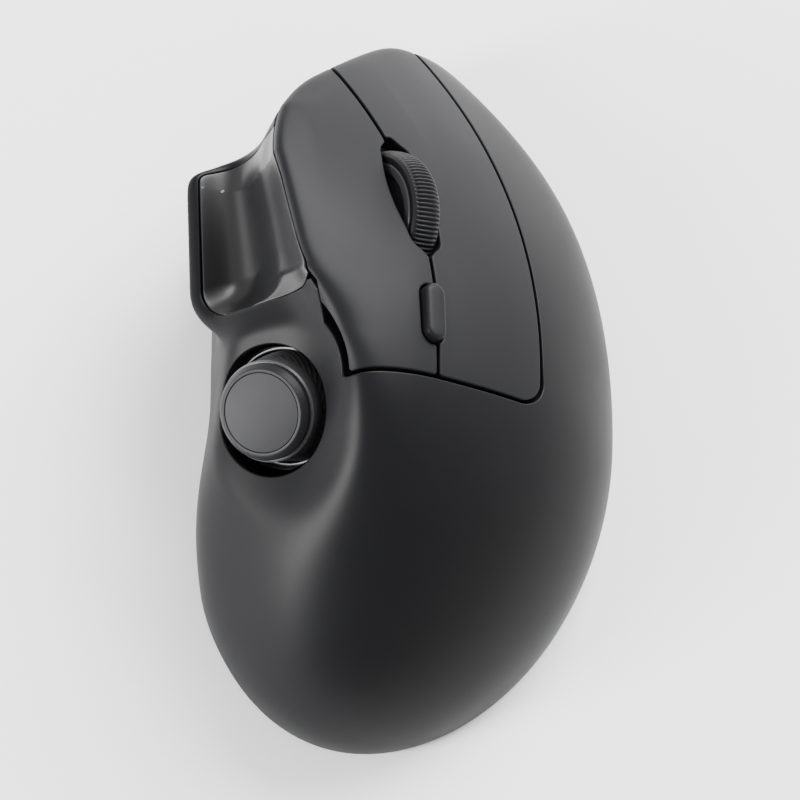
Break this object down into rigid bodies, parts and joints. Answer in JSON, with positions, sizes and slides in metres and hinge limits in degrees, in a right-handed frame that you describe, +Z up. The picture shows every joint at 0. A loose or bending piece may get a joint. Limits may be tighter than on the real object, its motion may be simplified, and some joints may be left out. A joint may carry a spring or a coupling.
{
  "type": "wireless mouse with thumb knob",
  "caption": "Tilted right-hand wireless mouse with two hinged button plates, a clickable scroll wheel, a speed button, a thumb dish and a thumb knob.",
  "frame": {"origin": "on the desk under the middle of the body, just behind the sensor, on the sole of the glide ring", "axes": "+Z up from the desk, +Y forward towards the nose and the scroll wheel, +X to the user's right"},
  "size_m": [0.0772, 0.1248, 0.0497],
  "materials": {
    "shell_satin": "satin",
    "plate_satin": "satin",
    "dish_gloss": "gloss",
    "base_black": "matte",
    "inner_black": "matte",
    "pin_steel": "ground",
    "tyre_rubber": "ribbed",
    "hub_grey": "satin",
    "switch_black": "moulded",
    "plunger_white": "moulded",
    "board_green": "solder mask",
    "knob_dark": "satin",
    "cap_grey": "satin",
    "trim_grey": "satin",
    "lens_clear": "clear",
    "cell_foil": "foil",
    "foam_grey": "foam",
    "port_steel": "drawn",
    "glide_grey": "low friction",
    "screw_steel": "zinc"
  },
  "bodies": {
    "housing": {"palm_shell": "shell_satin", "thumb_rest": "dish_gloss", "base_plate": "base_black", "chassis": "inner_black", "hinge_pin": "pin_steel", "cradle_pin": "pin_steel", "middle_switch": "switch_black", "dpi_switch": "switch_black", "left_switch": "switch_black", "right_switch": "switch_black", "button_pcb": "board_green", "knob_bezel": "base_black", "knob_trim": "trim_grey", "knob_encoder": "switch_black", "knob_pcb": "board_green", "main_pcb": "board_green", "optical_sensor": "switch_black", "sensor_lens": "lens_clear", "battery": "cell_foil", "battery_pad": "foam_grey", "usb_port": "port_steel", "power_switch": "port_steel", "mode_switch": "switch_black", "front_foot": "glide_grey", "side_foot": "glide_grey", "rear_foot": "glide_grey", "sensor_foot": "glide_grey", "base_screws": "screw_steel", "board_screws": "screw_steel", "chassis_screws": "screw_steel"},
    "left_key": {"left_button": "plate_satin"},
    "right_key": {"right_button": "plate_satin"},
    "left_tip": {"left_plunger": "plunger_white"},
    "right_tip": {"right_plunger": "plunger_white"},
    "cradle": {"wheel_cradle": "inner_black", "wheel_encoder": "switch_black"},
    "wheel": {"scroll_tyre": "tyre_rubber", "scroll_hub": "hub_grey", "scroll_axle": "pin_steel"},
    "middle_tip": {"middle_plunger": "plunger_white"},
    "dpi_key": {"dpi_button": "plate_satin"},
    "dpi_tip": {"dpi_plunger": "plunger_white"},
    "knob_stem": {"knob_push_plate": "pin_steel"},
    "knob": {"knob_skirt": "knob_dark", "knob_cap": "cap_grey", "knob_inlay": "cap_grey", "knob_shaft": "pin_steel"},
    "power_key": {"power_slider": "trim_grey"},
    "mode_key": {"mode_button": "plate_satin"},
    "mode_tip": {"mode_plunger": "plunger_white"}
  },
  "joints": [
    {"name": "left_click", "type": "hinge", "parent": "housing", "child": "left_key", "pos_m": [-0.00207, -0.015, 0.03717], "axis": [0.8988, 0, -0.4384], "range_deg": [-0.5, 0]},
    {"name": "right_click", "type": "hinge", "parent": "housing", "child": "right_key", "pos_m": [-0.00207, -0.015, 0.03717], "axis": [0.8988, 0, -0.4384], "range_deg": [-0.5, 0]},
    {"name": "left_tip_travel", "type": "slide", "parent": "housing", "child": "left_tip", "axis": [-0.3745, -0.3395, -0.8629], "range_m": [0, 0.0004]},
    {"name": "right_tip_travel", "type": "slide", "parent": "housing", "child": "right_tip", "axis": [-0.3745, -0.3395, -0.8629], "range_m": [0, 0.0004]},
    {"name": "wheel_click", "type": "hinge", "parent": "housing", "child": "cradle", "pos_m": [0.00016, 0.00864, 0.03636], "axis": [0.8921, 0.1219, -0.4351], "range_deg": [-1, 0]},
    {"name": "wheel_spin", "type": "hinge", "parent": "cradle", "child": "wheel", "pos_m": [-0.00346, 0.02372, 0.03316], "axis": [0.8921, 0.1219, -0.4351], "continuous": true},
    {"name": "middle_tip_travel", "type": "slide", "parent": "housing", "child": "middle_tip", "axis": [-0.3745, -0.3395, -0.8629], "range_m": [0, 0.0006]},
    {"name": "dpi_press", "type": "slide", "parent": "housing", "child": "dpi_key", "axis": [-0.4378, -0.0523, -0.8976], "range_m": [0, 0.0004]},
    {"name": "dpi_tip_travel", "type": "slide", "parent": "housing", "child": "dpi_tip", "axis": [-0.4378, -0.0523, -0.8976], "range_m": [0, 0.0004]},
    {"name": "knob_press", "type": "slide", "parent": "housing", "child": "knob_stem", "axis": [0.5201, 0.4101, -0.7492], "range_m": [0, 0.0005]},
    {"name": "knob_turn", "type": "hinge", "parent": "knob_stem", "child": "knob", "pos_m": [-0.0207, -0.0093, 0.03], "axis": [-0.5201, -0.4101, 0.7492], "continuous": true},
    {"name": "power_slide", "type": "slide", "parent": "housing", "child": "power_key", "axis": [0, 1, 0], "range_m": [0, 0.002]},
    {"name": "mode_press", "type": "slide", "parent": "housing", "child": "mode_key", "axis": [0, 0, 1], "range_m": [0, 0.0003]},
    {"name": "mode_tip_travel", "type": "slide", "parent": "housing", "child": "mode_tip", "axis": [0, 0, 1], "range_m": [0, 0.0003]}
  ],
  "couplings": [
    {"joint": "left_tip_travel", "follows": "left_click", "m_per_rad": -0.0405},
    {"joint": "right_tip_travel", "follows": "right_click", "m_per_rad": -0.0405},
    {"joint": "middle_tip_travel", "follows": "wheel_click", "m_per_rad": -0.031},
    {"joint": "dpi_tip_travel", "follows": "dpi_press", "ratio": 1},
    {"joint": "mode_tip_travel", "follows": "mode_press", "ratio": 1}
  ]
}
